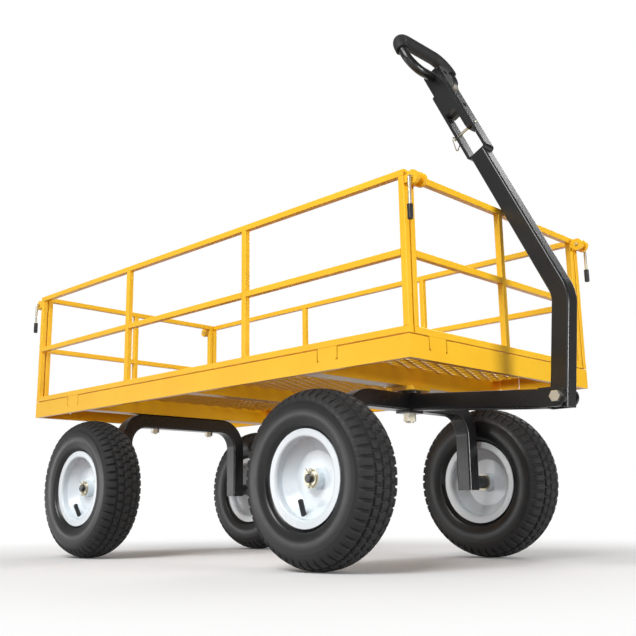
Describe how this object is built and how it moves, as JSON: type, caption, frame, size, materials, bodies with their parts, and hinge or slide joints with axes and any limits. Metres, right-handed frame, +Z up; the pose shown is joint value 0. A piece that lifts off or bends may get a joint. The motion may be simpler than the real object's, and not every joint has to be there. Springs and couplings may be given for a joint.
{
  "type": "hand wagon",
  "caption": "Steel hand wagon: mesh deck, lift-off rail sides held by corner pins, pneumatic wheels, steered front axle and a swinging pull pole with a convertible grip and tow head.",
  "frame": {"origin": "on the ground under the middle of the wagon's outer box", "axes": "+X forward to the pull pole, +Y to the left, +Z up"},
  "size_m": [1.4386, 0.6524, 1.1206],
  "materials": {
    "yellow_paint": "gloss powder coat",
    "black_paint": "satin powder coat",
    "white_enamel": "gloss enamel",
    "zinc": "zinc plated",
    "tyre": "matt rubber",
    "rubber": "matt rubber",
    "vinyl": "dipped vinyl",
    "foam": "fine foam"
  },
  "bodies": {
    "chassis": {"right_skirt": "yellow_paint", "left_skirt": "yellow_paint", "front_skirt": "yellow_paint", "rear_skirt": "yellow_paint", "deck_mesh": "yellow_paint", "front_bolster": "yellow_paint", "middle_member": "yellow_paint", "rear_bolster": "yellow_paint", "right_panel": "yellow_paint", "left_panel": "yellow_paint", "front_panel": "yellow_paint", "rear_panel": "yellow_paint", "pivot_plate": "yellow_paint", "rear_axle": "black_paint", "rear_spindles": "black_paint", "rear_wheel_washers": "zinc", "rear_cotter_pins": "zinc", "rear_axle_bolts": "zinc", "thrust_washer": "black_paint", "kingpin": "zinc", "kingpin_plate": "black_paint"},
    "front_truck": {"front_axle": "black_paint", "front_spindles": "black_paint", "front_wheel_washers": "zinc", "front_cotter_pins": "zinc", "tongue": "black_paint", "clevis": "black_paint", "pole_bolt": "zinc"},
    "handle": {"pole": "black_paint", "tow_fork": "black_paint", "grip_stem": "black_paint", "stem_bolt": "zinc", "grip_loop": "black_paint", "grip_sleeve": "foam"},
    "lock_pin": {"lock_pin": "zinc", "pin_ring": "zinc"},
    "front_right_wheel": {"front_right_tyre": "tyre", "front_right_rim": "white_enamel", "front_right_bearings": "zinc", "front_right_valve": "rubber"},
    "front_left_wheel": {"front_left_tyre": "tyre", "front_left_rim": "white_enamel", "front_left_bearings": "zinc", "front_left_valve": "rubber"},
    "rear_right_wheel": {"rear_right_tyre": "tyre", "rear_right_rim": "white_enamel", "rear_right_bearings": "zinc", "rear_right_valve": "rubber"},
    "rear_left_wheel": {"rear_left_tyre": "tyre", "rear_left_rim": "white_enamel", "rear_left_bearings": "zinc", "rear_left_valve": "rubber"},
    "front_right_latch": {"front_right_latch_pin": "zinc", "front_right_latch_grip": "vinyl"},
    "front_left_latch": {"front_left_latch_pin": "zinc", "front_left_latch_grip": "vinyl"},
    "rear_right_latch": {"rear_right_latch_pin": "zinc", "rear_right_latch_grip": "vinyl"},
    "rear_left_latch": {"rear_left_latch_pin": "zinc", "rear_left_latch_grip": "vinyl"}
  },
  "joints": [
    {"name": "front_steer", "type": "hinge", "parent": "chassis", "child": "front_truck", "pos_m": [0.33467, 0, 0.324], "axis": [0, 0, 1], "range_deg": [-10, 10]},
    {"name": "pole_swing", "type": "hinge", "parent": "front_truck", "child": "handle", "pos_m": [0.6854, 0, 0.303], "axis": [0, 1, 0], "range_deg": [0, 120]},
    {"name": "lock_pin_draw", "type": "slide", "parent": "handle", "child": "lock_pin", "axis": [-0.8965, 0, -0.4431], "range_m": [0, 0.06]},
    {"name": "front_right_wheel_spin", "type": "hinge", "parent": "front_truck", "child": "front_right_wheel", "pos_m": [0.33467, -0.276, 0.165], "axis": [0, 1, 0], "continuous": true},
    {"name": "front_left_wheel_spin", "type": "hinge", "parent": "front_truck", "child": "front_left_wheel", "pos_m": [0.33467, 0.276, 0.165], "axis": [0, 1, 0], "continuous": true},
    {"name": "rear_right_wheel_spin", "type": "hinge", "parent": "chassis", "child": "rear_right_wheel", "pos_m": [-0.44533, -0.276, 0.165], "axis": [0, 1, 0], "continuous": true},
    {"name": "rear_left_wheel_spin", "type": "hinge", "parent": "chassis", "child": "rear_left_wheel", "pos_m": [-0.44533, 0.276, 0.165], "axis": [0, 1, 0], "continuous": true},
    {"name": "front_right_latch_draw", "type": "slide", "parent": "chassis", "child": "front_right_latch", "axis": [0, -1, 0], "range_m": [0, 0.04]},
    {"name": "front_left_latch_draw", "type": "slide", "parent": "chassis", "child": "front_left_latch", "axis": [0, 1, 0], "range_m": [0, 0.04]},
    {"name": "rear_right_latch_draw", "type": "slide", "parent": "chassis", "child": "rear_right_latch", "axis": [0, -1, 0], "range_m": [0, 0.04]},
    {"name": "rear_left_latch_draw", "type": "slide", "parent": "chassis", "child": "rear_left_latch", "axis": [0, 1, 0], "range_m": [0, 0.04]}
  ]
}
